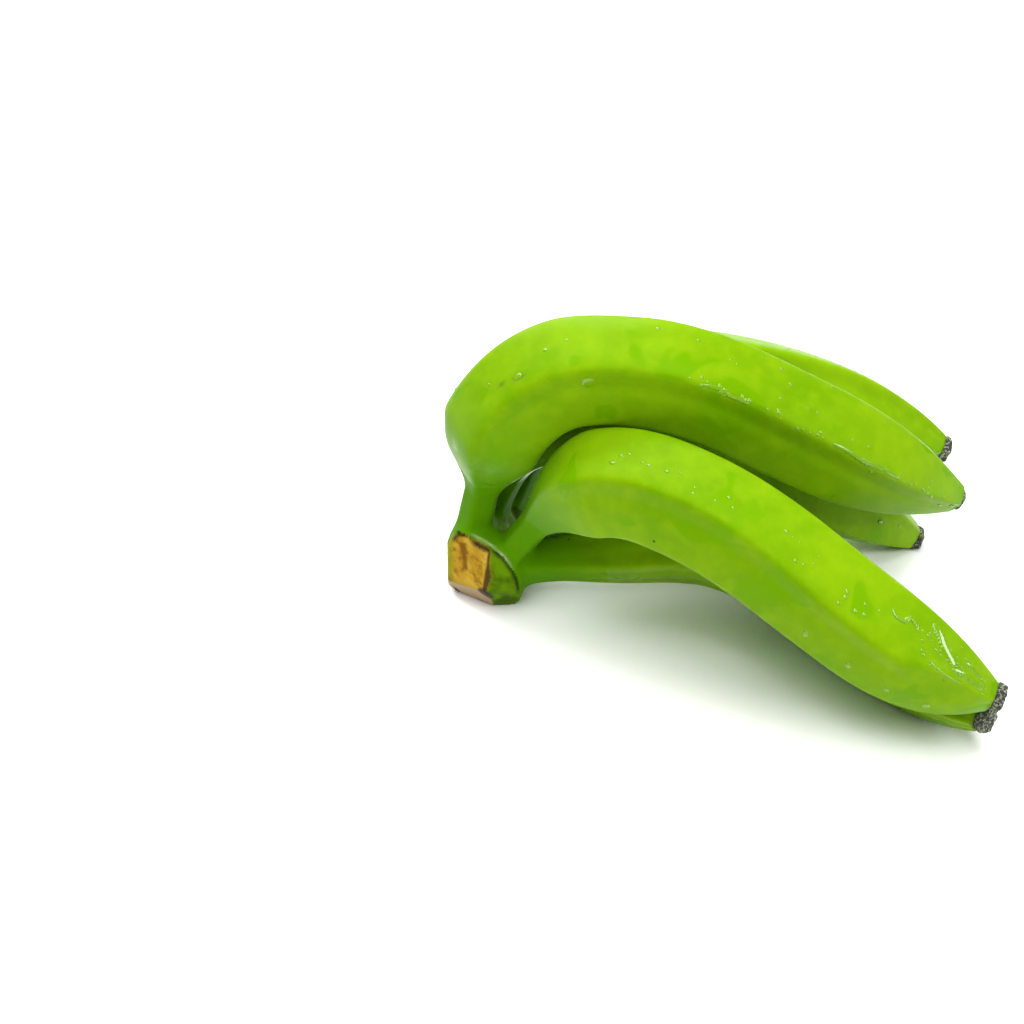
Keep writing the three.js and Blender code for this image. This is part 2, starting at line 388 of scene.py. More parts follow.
@dataclass(frozen=True)
class PlantainPeel:
    """Unripe plantain peel: a thin waxy skin over green flesh, grown and then wetted.

    The wax gives a broad soft sheen; water lies on it in sharper, more saturated patches.
    Sizes are in metres.
    """

    fresh: str = "#709804"
    deep: str = "#638F03"
    pale: str = "#82A80C"
    wet: str = "#629202"
    neck: str = "#4B7E03"
    speck: str = "#26330A"
    scar: str = "#4A4420"
    sheen: str = "#C0F050"
    dry_roughness: float = 0.42
    wet_roughness: float = 0.18
    wax_ior: float = 1.45
    wax_specular: float = 0.12
    tone_size: float = 0.042
    mottle_size: float = 0.007
    mottle_share: float = 0.45
    wet_size: float = 0.02
    speck_spacing: float = 0.012
    pore_size: float = 0.0012
    pore_depth: float = 0.0002

    def skin(self, tree: Tree, place: Socket) -> tuple:
        """Builds the peel's colour and gloss from noises at real sizes.

        Args:
            tree: The material's nodes.
            place: The coordinates of the part.

        Returns:
            The colour's and the roughness's sockets.
        """
        tone = spread(tree, noise_of(tree, place, self.tone_size, Detail=2.0), (0.35, 0.65))
        colour = blend(tree, tone, linear(self.fresh), linear(self.deep))
        # paler mottling of the skin, softly edged
        mottle = noise_of(tree, place, self.mottle_size, Detail=5.0)
        cloudy = spread(tree, mottle, (0.4, 0.75), (0.0, self.mottle_share))
        colour = blend(tree, cloudy, colour, linear(self.pale))
        # water patches are 5 to 15 mm across, with soft uneven edges
        film = noise_of(tree, place, self.wet_size, Detail=2.0, Distortion=0.5)
        patch = {"Value": film, "From Min": 0.58, "From Max": 0.66}
        patch = add_node(tree, "ShaderNodeMapRange", patch, interpolation_type="SMOOTHSTEP")
        wet = patch.outputs[0]
        colour = blend(tree, wet, colour, linear(self.wet))
        # dark specks under a millimetre across, one in a few square centimetres
        grid = {"Vector": place, "Scale": 1 / self.speck_spacing}
        cells = add_node(tree, "ShaderNodeTexVoronoi", grid)
        dot = spread(tree, cells.outputs["Distance"], (0.06, 0.03))
        some = {0: cells.outputs["Color"], 1: 0.6}
        chosen = add_node(tree, "ShaderNodeMath", some, operation="GREATER_THAN").outputs[0]
        specks = add_node(tree, "ShaderNodeMath", {0: dot, 1: chosen}, operation="MULTIPLY")
        layers = (
            (mark_of(tree, "neck"), self.neck),
            (specks.outputs[0], self.speck),
            (mark_of(tree, "scar"), self.scar),
        )
        for share, over in layers:
            colour = blend(tree, share, colour, linear(over))
        return colour, spread(tree, wet, (0.0, 1.0), (self.dry_roughness, self.wet_roughness))

    def material(self) -> Finish:
        """Builds the fingers' finish."""
        material, tree = new_finish("waxy_plantain_peel")
        place = add_node(tree, "ShaderNodeTexCoord", {}).outputs["Object"]
        colour, gloss = self.skin(tree, place)
        # pores of the skin, drawn larger than they are so that they show
        pores = noise_of(tree, place, self.pore_size)
        inputs = {
            "Base Color": colour,
            "Roughness": gloss,
            "Normal": relief_of(tree, pores, 0.1, self.pore_depth),
            "IOR": self.wax_ior,
            "Specular IOR Level": self.wax_specular,
            "Specular Tint": linear(self.sheen),
        }
        return set_shader(material, inputs)


@dataclass(frozen=True)
class WaterFilm:
    """Clean tap water in beads and trickles: the peel's colour shows through, mirror-smooth."""

    peel_below: str = "#6A9603"
    roughness: float = 0.06
    ior: float = 1.5
    specular: float = 0.6

    def material(self) -> Finish:
        """Builds the water as a sharp clear gloss over the peel's colour."""
        material, _ = new_finish("clear_water_on_peel")
        inputs = {
            "Base Color": linear(self.peel_below),
            "Roughness": self.roughness,
            "IOR": self.ior,
            "Specular IOR Level": self.specular,
        }
        return set_shader(material, inputs)


@dataclass(frozen=True)
class CutCrown:
    """Fresh-cut crown stalk: green rind round fibrous flesh that browned after the knife.

    The cut is matt and ochre with brown blots; the rind is rough, mottled and dull.
    Sizes are in metres.
    """

    rind: str = "#5A7E06"
    rind_dark: str = "#3A5405"
    cut_pale: str = "#BC9A34"
    cut: str = "#A07A1A"
    cut_brown: str = "#633B11"
    cut_green: str = "#7E8414"
    foot: str = "#9C876A"
    rim: str = "#2E2714"
    bruise: str = "#37302C"
    lip: str = "#A7B382"
    # painted shade: near-black for the shadow in the sunk groove just outside the leaf scar's lip
    shaded_groove: str = "#141A07"
    patch_size: float = 0.008
    fibre_size: float = 0.0028
    fibre_depth: float = 0.0004
    specular: float = 0.015

    def material(self) -> Finish:
        """Builds the crown's finish; the marks on the mesh say where each part lies."""
        material, tree = new_finish("cut_plantain_crown")
        place = add_node(tree, "ShaderNodeTexCoord", {}).outputs["Object"]
        colour, gloss = PlantainPeel().skin(tree, place)
        patches = spread(tree, noise_of(tree, place, self.patch_size, Detail=4.0), (0.42, 0.64))
        fibre = noise_of(tree, place, self.fibre_size, Detail=5.0)
        flesh = blend(tree, patches, linear(self.cut_pale), linear(self.cut))
        layers = (
            ("rind", blend(tree, patches, linear(self.rind), linear(self.rind_dark))),
            ("cut", blend(tree, spread(tree, fibre, (0.5, 0.78)), flesh, linear(self.cut_brown))),
            ("green_edge", linear(self.cut_green)),
            ("brown", linear(self.cut_brown)),
            ("foot", linear(self.foot)),
            ("rim", linear(self.rim)),
            ("bruise", linear(self.bruise)),
            ("lip", linear(self.lip)),
            # the groove beside the lip is painted near-black as shade
            ("shaded_groove", linear(self.shaded_groove)),
        )
        for mark, over in layers:
            colour = blend(tree, mark_of(tree, mark), colour, over)
        inputs = {
            "Base Color": colour,
            "Roughness": gloss,
            "Normal": relief_of(tree, fibre, 0.25, self.fibre_depth),
            "Specular IOR Level": self.specular,
            "Specular Tint": linear(PlantainPeel.sheen),
        }
        return set_shader(material, inputs)


@dataclass(frozen=True)
class DriedFlower:
    """Dried flower end: shrivelled black-brown tissue with ashy grey crumbs, quite matt.

    Sizes are in metres.
    """

    char: str = "#2B2D23"
    ash: str = "#8E9384"
    moss: str = "#4E5D28"
    moss_size: float = 0.003
    crumb_size: float = 0.001
    crumb_depth: float = 0.0006
    roughness: float = 0.85

    def material(self) -> Finish:
        """Builds the crumbly finish from a coarse and a fine noise."""
        material, tree = new_finish("dried_flower_tissue")
        place = add_node(tree, "ShaderNodeTexCoord", {}).outputs["Object"]
        mossy = spread(tree, noise_of(tree, place, self.moss_size, Detail=3.0), (0.5, 0.7))
        ground = blend(tree, mossy, linear(self.char), linear(self.moss))
        fine = noise_of(tree, place, self.crumb_size, Detail=4.0)
        inputs = {
            "Base Color": blend(tree, spread(tree, fine, (0.5, 0.64)), ground, linear(self.ash)),
            "Roughness": self.roughness,
            "Normal": relief_of(tree, fine, 0.9, self.crumb_depth),
        }
        return set_shader(material, inputs)


@dataclass(frozen=True)
class WhiteTable:
    """Painted white table top, plain and matt, bright enough to lose its edges."""

    paint: str = "#FBFBFA"
    roughness: float = 0.6

    def material(self) -> Finish:
        """Builds the plain white paint."""
        material, _ = new_finish("white_table_paint")
        inputs = {"Base Color": linear(self.paint), "Roughness": self.roughness}
        return set_shader(material, inputs)


# Fingers


@dataclass
class Finger:
    """One plantain finger, from its root in the crown to its blunt tip, in mm.

    climb is in degrees above the table and heading in degrees from +X towards +Y.
    hump is how far the shoulder bulges, roll turns the five faces along the finger,
    and dried and dried_radius are the length and the radius of the dried flower.
    Each scar is its distance from the root, its angle from the roll, its length and its width.
    """

    name: str
    root: tuple[float, float, float]
    length: float
    girth: float
    shoulder: float
    neck: float
    neck_radius: float
    taper: float
    taper_power: float
    hump: float
    dried: float
    dried_radius: float
    climb: tuple[float, ...]
    heading: tuple[float, ...]
    roll: tuple[float, ...]
    tip_radius: float = 6.0
    scars: tuple = ()
    steps: int = 240
    sides: int = 144
    rings: int = 210
    at: Array = field(init=False, repr=False)
    along: Array = field(init=False, repr=False)
    side: Array = field(init=False, repr=False)
    hollow: Array = field(init=False, repr=False)

    # each ridge and the valley beside it, with heights in mm and widths in degrees
    RIDGE_HEIGHT, RIDGE_WIDTH = 0.45, 6.0
    VALLEY_DEPTH, VALLEY_AWAY, VALLEY_WIDTH = 0.9, 17.0, 11.0
    # how sharp the five-sided section is, and how many directions it is worked out for
    SHARPNESS, TABLE = 9, 720
    # where the hump ends, how the ridges get lower at the tip, and the flare at the root
    HUMP_END, FLAT_LENGTH, FLAT_SHARE, FLARE, FLARE_LENGTH = 1.1, 45, 0.6, 2, 8
    # slow unevenness of the skin, which begins beyond the neck
    UNEVEN, UNEVEN_SIZE, UNEVEN_FROM, UNEVEN_RISE = 0.22, 26.0, 42.0, 20

    def __post_init__(self) -> None:
        """Lays the middle line, the directions along it and the section."""
        share = np.linspace(0, 1, self.steps + 1)
        e = np.radians(GentleCurve(CLIMB_AT, self.climb)(share))
        a = np.radians(GentleCurve(HEADING_AT, self.heading)(share))
        self.along = np.stack([np.cos(e) * np.cos(a), np.cos(e) * np.sin(a), np.sin(e)], axis=1)
        halves = (self.along[1:] + self.along[:-1]) * self.length / self.steps / 2
        start = np.array(self.root) + ORIGIN_SHIFT
        self.at = np.vstack([start, start + np.cumsum(halves, axis=0)])
        side = np.cross(self.along[0], self.along[-1])
        sides = []
        for t in self.along:
            side = unit(side - side.dot(t) * t)
            sides.append(side)
        self.side = np.array(sides)
        self.hollow = np.cross(self.side, self.along)
        s = share * self.length
        fall = 1 - past(s, self.shoulder, self.HUMP_END * self.shoulder)
        self.at = self.at - self.hollow * (self.hump * self.rise(s) * fall)[:, None]
        self._turn = GentleCurve(ROLL_AT, self.roll)
        self._section()

    def _section(self) -> None:
        """Works out the five-sided section and its ridges for angles from the roll."""
        degrees = np.arange(self.TABLE + 1) * 360 / self.TABLE
        total = np.zeros(self.TABLE + 1)
        for angle, out in FACES:
            total += np.maximum(np.cos(np.radians(degrees - angle)) / out, 0) ** self.SHARPNESS
        reach = total ** (-1 / self.SHARPNESS)
        self._reach = reach / reach[:-1].mean()
        self._relief = np.zeros(self.TABLE + 1)
        for corner in CORNERS:
            off = (degrees - corner + 180) % 360 - 180
            # the valley lies on the side of the ridge that faces the bend's hollow
            inner = (HOLLOW - corner + 180) % 360 - 180
            self._relief += self.RIDGE_HEIGHT * bell(off, self.RIDGE_WIDTH)
            for way in (-1, 1) if abs(inner) < 1 else (np.sign(inner),):
                valley = bell(off - way * self.VALLEY_AWAY, self.VALLEY_WIDTH)
                self._relief -= self.VALLEY_DEPTH * valley

    def turn(self, s: Array) -> Array:
        """The roll at distance s, in radians."""
        return np.radians(self._turn(np.clip(s / self.length, 0, 1)))

    def rise(self, s: Array) -> Array:
        """How far the neck has opened into the shoulder at distance s, from 0 to 1."""
        return past(s, self.neck, self.shoulder - self.neck)

    def radius(self, s: Array) -> Array:
        """Mean radius at distance s from the root."""
        full = self.girth / 2
        fall = np.clip((s - (self.length - self.taper)) / self.taper, 0, 1)
        flare = self.FLARE * np.exp(-np.maximum(s, 0) / self.FLARE_LENGTH)
        swell = (full - self.neck_radius) * self.rise(s)
        return self.neck_radius + swell + flare - (full - self.tip_radius) * fall**self.taper_power

    def skin_radius(self, theta: Array, s: Array) -> Array:
        """How far out the skin lies in a direction at distance s, with its ridges."""
        angle = np.degrees(theta - self.turn(s)) % 360 * self.TABLE / 360
        numbers = np.arange(self.TABLE + 1)
        near_tip = smooth((s - self.length + self.FLAT_LENGTH) / self.FLAT_LENGTH)
        fade = self.rise(s) * (1 - near_tip * self.FLAT_SHARE)
        relief = np.interp(angle, numbers, self._relief) * fade
        return self.radius(s) * np.interp(angle, numbers, self._reach) + relief

    def skin(self, s: Array, theta: Array, lift: Any = 0.0) -> Array:
        """Points on the skin.

        Args:
            s: Distances from the root in mm.
            theta: Directions round the middle line in radians.
            lift: How far above the skin, in mm.

        Returns:
            One point a row, in mm.
        """
        k = np.clip(s / self.length, 0, 1) * self.steps
        i = np.minimum(k.astype(int), self.steps - 1)
        f = (k - i)[:, None]
        at = self.at[i] * (1 - f) + self.at[i + 1] * f
        side = unit(self.side[i] * (1 - f) + self.side[i + 1] * f)
        hollow = unit(self.hollow[i] * (1 - f) + self.hollow[i + 1] * f)
        ray = np.cos(theta)[:, None] * side + np.sin(theta)[:, None] * hollow
        points = at + self.skin_radius(theta, s)[:, None] * ray
        fade = past(s, self.UNEVEN_FROM, self.UNEVEN_RISE)
        uneven = self.UNEVEN * lumps(points, self.UNEVEN_SIZE, self.length) * fade
        return points + (uneven + lift)[:, None] * ray

    def tip_ring(self, ahead: float, out: Any, theta: Array) -> Array:
        """A ring round the middle line, which goes straight on beyond the tip."""
        ring = self.at[-1] + self.along[-1] * ahead
        ring = ring + (out * np.cos(theta))[:, None] * self.side[-1]
        return ring + (out * np.sin(theta))[:, None] * self.hollow[-1]

    def distance(self, points: Array, until: float | None = None) -> Array:
        """About how far points are outside the skin, less than 0 inside.

        Args:
            points: Places in mm, one a row.
            until: Only this much of the finger is looked at, from its root.

        Returns:
            One distance a point.
        """
        last = self.steps if until is None else int(until / self.length * self.steps)
        knots = np.arange(0, last + 1, 2)
        line = self.at[knots]
        near = knots[np.argmin((line**2).sum(axis=1) - 2 * points @ line.T, axis=1)]
        away = points - self.at[near]
        ahead = (away * self.along[near]).sum(axis=1)
        s = near * self.length / self.steps + ahead
        if until is None:
            s = np.minimum(s, self.length)
        u = (away * self.side[near]).sum(axis=1)
        v = (away * self.hollow[near]).sum(axis=1)
        skin = self.skin_radius(np.arctan2(v, u), s)
        beyond = np.maximum(ahead - 2 * self.length / self.steps, 0) if until is None else 0.0
        return np.hypot(u, v) - skin + beyond


@dataclass
class PeelPieces:
    """The skins of the fingers, each with its rounded tip, pressed in where they touch."""

    start: float = 32.0
    # the skin's first edge is tucked in; its rings crowd together near both ends
    sunk: float = 0.05
    sunk_length: float = 6.0
    crowding: float = 0.03
    presses: int = 3

    def build(self, finger: Finger, lower: list[Finger], peel: Finish) -> None:
        """Makes one finger's skin.

        Args:
            finger: The finger.
            lower: The fingers made before it, which press into it.
            peel: The skin's finish.
        """
        t = np.linspace(0, 1, finger.rings)
        crowded = t + self.crowding * np.sin(2 * np.pi * (t - 0.5)) * t
        s = self.start + (finger.length - self.start) * crowded
        around = -2 * np.pi * np.arange(finger.sides) / finger.sides
        grid_s, grid_theta = (g.ravel() for g in np.meshgrid(s, around, indexing="ij"))
        tucked = self.sunk * (1 - smooth((grid_s - self.start) / self.sunk_length))
        points = finger.skin(grid_s, grid_theta + finger.turn(grid_s), -tucked)
        points = np.vstack([points, self._tip(finger, around)])
        for other in lower:
            points = self._press(points, other)
        rings = len(points) // finger.sides
        faces = ring_faces(rings, finger.sides)
        faces.append(list(range((rings - 1) * finger.sides, rings * finger.sides)))
        rest = len(points) - len(grid_s)
        all_s = np.concatenate([grid_s, np.full(rest, finger.length)])
        scar = np.concatenate([self._scars(finger, grid_s, grid_theta), np.linspace(0.2, 1, rest)])
        marks = {"neck": neck_share(finger, all_s), "scar": scar}
        piece = make_piece(f"peel_{finger.name}", points, faces, peel, marks)
        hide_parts(f"finger_{finger.name}")

    @staticmethod
    def _scars(finger: Finger, s: Array, theta: Array) -> Array:
        """Where dry scars lie on a skin, from 0 to 1."""
        total = np.zeros(len(s))
        for place, angle, length, width in finger.scars:
            off = (np.degrees(theta) - angle + 180) % 360 - 180
            across = np.radians(off) * finger.girth / 2
            ragged = 1 + 0.5 * np.sin(1.7 * s) * np.sin(2.3 * across)
            total += bell(s - place, length / 2) * bell(across, width / 2) * ragged
        return np.clip(total, 0, 1)

    @staticmethod
    def _tip(finger: Finger, around: Array) -> Array:
        """The rounded rim that closes the skin round the dried flower."""
        theta = around + finger.turn(np.array(finger.length))
        section = finger.skin_radius(theta, np.full(len(theta), finger.length)) / finger.tip_radius
        rows = []
        for angle in RIM_ANGLES:
            a = math.radians(angle)
            round_off = 1 - smooth(np.array(angle / 90))
            share = RIM_SHARE + (1 - RIM_SHARE) * math.cos(a)
            out = finger.tip_radius * share * (1 + (section - 1) * round_off)
            rows.append(finger.tip_ring(RIM_LENGTH * math.sin(a), out, theta))
        return np.vstack(rows)

    def _press(self, points: Array, other: Finger) -> Array:
        """Moves points that lie inside another finger out to just clear of it."""
        box_low = other.at.min(axis=0) - other.girth / 2
        box_high = other.at.max(axis=0) + other.girth / 2
        chosen = np.flatnonzero(np.all((points > box_low) & (points < box_high), axis=1))
        moved = points.copy()
        for _ in range(self.presses):
            gap = other.distance(moved[chosen]) - GAP
            chosen = chosen[gap < 0]
            if not len(chosen):
                break
            gap = gap[gap < 0]
            way = slope(other.distance, moved[chosen], gap + GAP)
            moved[chosen] -= gap[:, None] * way
        return moved


def neck_share(finger: Finger, s: Array) -> Array:
    """How much of the neck's darker green shows at distance s, from 0 to 1."""
    return 1 - smooth((s - finger.neck - NECK_GREEN) / NECK_FADE)


# Water


@dataclass
class Water:
    """Beads and trickles of tap water that lie on the skins, in mm.

    Each bead is a finger's name, its distance from the root, its angle from the roll in
    degrees, its radius and its height; each trickle is a name, its way as such distances
    and angles, its half width and its height.
    """

    beads: tuple = (
        ("top", 102, -139, 2.2, 0.5), ("top", 83, -108, 1.2, 0.3), ("top", 258, -140, 1.6, 0.9),
        ("top", 154, -126, 1.3, 0.5), ("top", 252, -146, 1.2, 0.5), ("top", 207, -125, 1.2, 0.5),
        ("front", 81, -106, 1.0, 0.5), ("front", 97, -101, 0.8, 0.4),
        ("front", 118, -98, 0.8, 0.4), ("front", 166, -174, 1.3, 0.7),
        ("front", 184, -174, 1.3, 0.7), ("front", 199, -175, 1.2, 0.6),
        ("front", 213, -177, 1.5, 0.7), ("inner", 199, -159, 1.4, 0.6),
        ("inner", 210, -146, 1.0, 0.5),
    )
    trickles: tuple = (
        ("top", ((138, -126), (144, -124), (149, -127), (155, -124)), 0.7, 0.3),
        ("top", ((190, -124), (197, -123), (205, -125), (214, -122), (224, -124)), 0.9, 0.4),
        ("front", ((184, -82), (187, -87), (190, -86), (191, -78), (194, -80), (196, -87)),
         0.9, 0.5),
        ("front", ((199, -67), (203, -71), (207, -80), (212, -90), (214, -95)), 1.8, 0.5),
        ("front", ((204, -106), (208, -110), (213, -112), (219, -113)), 0.6, 0.3),
        ("front", ((213, -101), (218, -96), (223, -100), (227, -107)), 1.5, 0.5),
        ("front", ((217, -78), (221, -79), (226, -84)), 1.2, 0.4),
    )
    # small beads that dot the sprayed stretches: name, from, to, angle and its spread, number
    sprays: tuple = (
        ("front", 197, 228, -92, 18, 60), ("front", 80, 190, -100, 14, 26),
        ("top", 130, 250, -123, 5, 46), ("top", 60, 250, -85, 30, 22),
        ("back", 120, 215, -95, 22, 16),
    )
    small_radius: tuple[float, float] = (0.35, 0.85)
    small_height: float = 0.45
    seed: int = 7
    sunk: float = 0.06
    # a bead's rings as shares of its radius, and a trickle's rows for each place on its way
    BEAD_RINGS, BEAD_SIDES = (1.0, 0.92, 0.75, 0.5, 0.2), 14
    TRICKLE_ROWS, TRICKLE_SIDES = 8, 9
    # how blunt a trickle's ends and its banks are, and how much its width varies
    END_POWER, BANK_POWER, WAVE = 6, 4, 0.35

    def _bead(self, finger: Finger, s: float, angle: float, radius: float, height: float) -> tuple:
        """Points and faces of one bead, a dome on the skin."""
        sides, rings = self.BEAD_SIDES, len(self.BEAD_RINGS)
        rho = np.repeat(self.BEAD_RINGS, sides)
        phi = np.tile(2 * np.pi * np.arange(sides) / sides, rings)
        at = s + radius * rho * np.cos(phi)
        turned = math.radians(angle) + radius * rho * np.sin(phi) / (finger.girth / 2)
        lift = height * np.sqrt(1 - rho**2) - self.sunk
        points = finger.skin(at, turned + finger.turn(at), lift)
        faces = ring_faces(rings, sides)
        faces.append([(rings - 1) * sides + j for j in range(sides)])
        return points, faces

    def _trickle(self, finger: Finger, way: tuple, half: float, height: float) -> tuple:
        """Points and faces of one trickle, a low flat-topped bank along a way on the skin."""
        knots = np.array(way, float)
        count, sides = self.TRICKLE_ROWS * len(knots), self.TRICKLE_SIDES
        t = np.linspace(0, len(knots) - 1, count)
        numbers = np.arange(len(knots))
        s = GentleCurve(numbers, knots[:, 0])(t)
        angle = np.radians(GentleCurve(numbers, knots[:, 1])(t))
        reach = finger.girth / 2
        ds, da = np.gradient(s), np.gradient(angle) * reach
        size = np.hypot(ds, da)
        across = np.linspace(-1, 1, sides)
        ends = np.sqrt(np.clip(1 - np.abs(2 * t / t[-1] - 1) ** self.END_POWER, 0, 1))
        wavy = 1 + self.WAVE * np.sin(2.1 * t + 5 * s) * ends
        width = (half * ends * wavy)[:, None] * across[None]
        at = (s[:, None] - width * (da / size)[:, None]).ravel()
        turned = (angle[:, None] + width * (ds / size)[:, None] / reach).ravel()
        bank = 1 - across[None] ** self.BANK_POWER
        lift = (height * ends[:, None] * bank - self.sunk).ravel()
        points = finger.skin(at, turned + finger.turn(at), lift)
        return points, ring_faces(count, sides, closed=False)

    def build(self, fingers: list[Finger], finish: Finish) -> None:
        """Makes all beads and trickles as one piece.

        Args:
            fingers: The fingers that they lie on.
            finish: The water's finish.
        """
        by_name = {finger.name: finger for finger in fingers}
        shapes = [self._bead(by_name[name], *rest) for name, *rest in self.beads]
        shapes += [self._trickle(by_name[name], *rest) for name, *rest in self.trickles]
        chance = np.random.default_rng(self.seed)
        for name, first, last, angle, sway, number in self.sprays:
            for _ in range(number):
                radius = chance.uniform(*self.small_radius)
                place = chance.uniform(first, last), angle + sway * chance.normal() / 1.5
                height = radius * self.small_height
                shapes.append(self._bead(by_name[name], *place, radius, height))
        points, faces, start = [], [], 0
        for shape, quads in shapes:
            points.append(shape)
            faces.extend([[start + j for j in face] for face in quads])
            start += len(shape)
        piece = make_piece("water_on_peel", np.vstack(points), faces, finish)


# Crown


@dataclass
class Crown:
    """The cut crown with the necks that grow from it, as one skin, in mm."""

    fingers: list[Finger]
    outline: tuple = (
        (-11, 33), (-4, 34.5), (3, 34), (8, 30), (11.5, 24), (13.5, 18), (14.2, 10),
        (13.5, 2), (9, -2), (0, -2), (-10, -1), (-14.5, 5), (-16, 14), (-15.5, 25),
    )
    middle: tuple = (-1, 10)
    front: float = -9.5
    back: float = 43
    back_share: float = 0.7
    back_shift: float = 5
    # a point on each flat cut and the way it looks: two by the knife, then the underside
    cuts: tuple = (
        ((-2, -8, 12), (-0.645, -0.76, 0.08)),
        ((-2, -8, 12), (-0.467, -0.745, -0.478)),
        ((8, -3, 0), (0.1, -0.88, -0.46)),
    )
    # the old leaf scar that runs round the crown's front, between it and the necks
    scar_line: tuple = (
        (-11, 2, 33.5), (-4.4, -1, 34), (2.4, -7, 34), (7.6, -10, 30.7),
        (11.2, -10, 24.3), (13.2, -10, 19.7), (14, -9, 13.6), (13.6, -4, 4.4),
    )
    scar_middle: tuple = (-1, -8, 16)
    # the brown streak down the first cut, and the bruise where the cuts meet the front
    streak: tuple = ((-8.7, -0.5, 28.8), (-8, -1.6, 24.1), (-7.3, -2.8, 19))
    bruise: tuple = ((-0.8, -8.6, 11.5), (1.5, -9.3, 7.5))
    # how much of each neck belongs to the crown, and the width of the first rough quads
    stub: float = 42.0
    pitch: float = 1.3

    # how widely the edges are rounded, and how widely the necks flow into the crown
    ROUND_FRONT, ROUND_BACK, ROUND_CUT, ROUND_FOOT, ROUND_ROOT = 2.5, 14.0, 0.6, 0.4, 5.0
    # the web between necks: its width, where it fades, over what length, and what is left
    WEB, WEB_FROM, WEB_FADE, WEB_LEAST = 3.5, 5, 14, 0.02
    # how much of a neck counts in the crown's distance, and how far out from its line
    MEASURED, NECK_REACH, FAR = 54.0, 28, 60.0
    # the rough form: a neck's rings, sides and start inside the crown, the block's rings
    NECK_RINGS, NECK_SIDES, NECK_INSIDE, LID_RINGS, BLOCK_RINGS = 30, 24, 9, 8, 11
    # steps onto the true distance, none longer than this
    STEPS, LONGEST_STEP = 4, 2
    # the crown's skin ends under the fingers' skins
    TUCK, TUCK_FROM, TUCK_LENGTH, OVERLAP, ON_NECK = 0.06, 34, 6, 2, 0.4
    LIP_HEIGHT, CRACK_DEPTH = 0.4, 0.5

    def body(self, points: Array) -> Array:
        """Distance to the crown before the knife, its far end narrower than its front."""
        p = points - ORIGIN_SHIFT
        along = smooth((p[:, 1] - self.front) / (self.back - self.front))
        wide = 1 - (1 - self.back_share) * along
        flat = p[:, [0, 2]] - self.middle
        flat[:, 0] -= self.back_shift * along
        sides = self._outline_distance(flat / wide[:, None] + self.middle) * wide
        whole = soft_max(sides, self.front - p[:, 1], self.ROUND_FRONT)
        return soft_max(whole, p[:, 1] - self.back, self.ROUND_BACK)

    def _outline_distance(self, flat: Array) -> Array:
        """Distance to the crown's outline as seen from the front."""
        ring = self._round_outline()
        a, b = ring, np.roll(ring, -1, axis=0)
        edge = b - a
        away = flat[:, None, :] - a[None]
        t = np.clip((away * edge).sum(axis=2) / (edge**2).sum(axis=1), 0, 1)
        gap = np.linalg.norm(away - t[:, :, None] * edge, axis=2).min(axis=1)
        y, y0, y1 = flat[:, None, 1], a[None, :, 1], b[None, :, 1]
        x_at = a[None, :, 0] + (y - y0) * edge[None, :, 0] / np.where(y1 == y0, TINY, y1 - y0)
        crossed = ((y0 > y) != (y1 > y)) & (flat[:, None, 0] < x_at)
        return np.where(crossed.sum(axis=1) % 2 == 1, -gap, gap)

    def _round_outline(self, spans: int = 3) -> Array:
        """The outline with rounded corners between its given points."""
        p1 = np.array(self.outline, float)
        p0, p2, p3 = (np.roll(p1, shift, axis=0) for shift in (1, -1, -2))
        rows = []
        for k in range(spans):
            t = k / spans
            bend = (2 * p0 - 5 * p1 + 4 * p2 - p3) * t * t + (3 * p1 - p0 - 3 * p2 + p3) * t**3
            rows.append(0.5 * (2 * p1 + (p2 - p0) * t + bend))
        return np.stack(rows, axis=1).reshape(-1, 2)

    def plane(self, points: Array, cut: int) -> Array:
        """Distance beyond one of the flat cuts."""
        at, look = self.cuts[cut]
        return (points - ORIGIN_SHIFT - at) @ unit(np.array(look, float))

    def distance(self, points: Array) -> Array:
        """Distance to the crown and the necks, grown together."""
        body = self.body(points)
        web = self.WEB * (1 - smooth((body - self.WEB_FROM) / self.WEB_FADE)) + self.WEB_LEAST
        necks = np.full(len(points), self.FAR)
        for finger in self.fingers:
            line = finger.at[: int(self.MEASURED / finger.length * finger.steps)]
            low, high = line.min(axis=0) - self.NECK_REACH, line.max(axis=0) + self.NECK_REACH
            near = np.flatnonzero(np.all((points > low) & (points < high), axis=1))
            own = finger.distance(points[near], self.MEASURED)
            necks[near] = soft_min(necks[near], own, web[near])
        whole = soft_min(body, necks, self.ROUND_ROOT)
        for cut in range(len(self.cuts)):
            whole = soft_max(whole, self.plane(points, cut), self.ROUND_CUT)
        return soft_max(whole, -points[:, 2], self.ROUND_FOOT)

    def _trimmed(self, points: Array) -> Array:
        """Brings points beyond the cuts back onto them, in two rounds."""
        for cut in (0, 1, 2, 0, 1, 2):
            look = unit(np.array(self.cuts[cut][1], float))
            points = points - np.maximum(self.plane(points, cut), 0)[:, None] * look
        return points

    def _rough_form(self) -> bpy.types.Object:
        """Overlapping closed tubes and a block, to be wrapped in one skin."""
        tubes = []
        sides = self.NECK_SIDES
        for finger in self.fingers:
            s = np.linspace(0, self.stub, self.NECK_RINGS)
            theta = -2 * np.pi * np.arange(sides) / sides
            grid_s, grid_theta = (g.ravel() for g in np.meshgrid(s, theta, indexing="ij"))
            tube = finger.skin(grid_s, grid_theta)
            tube = np.vstack([tube[:sides] - finger.along[0] * self.NECK_INSIDE, tube])
            tubes.append((self._trimmed(tube), sides))
        ring = self._round_outline()
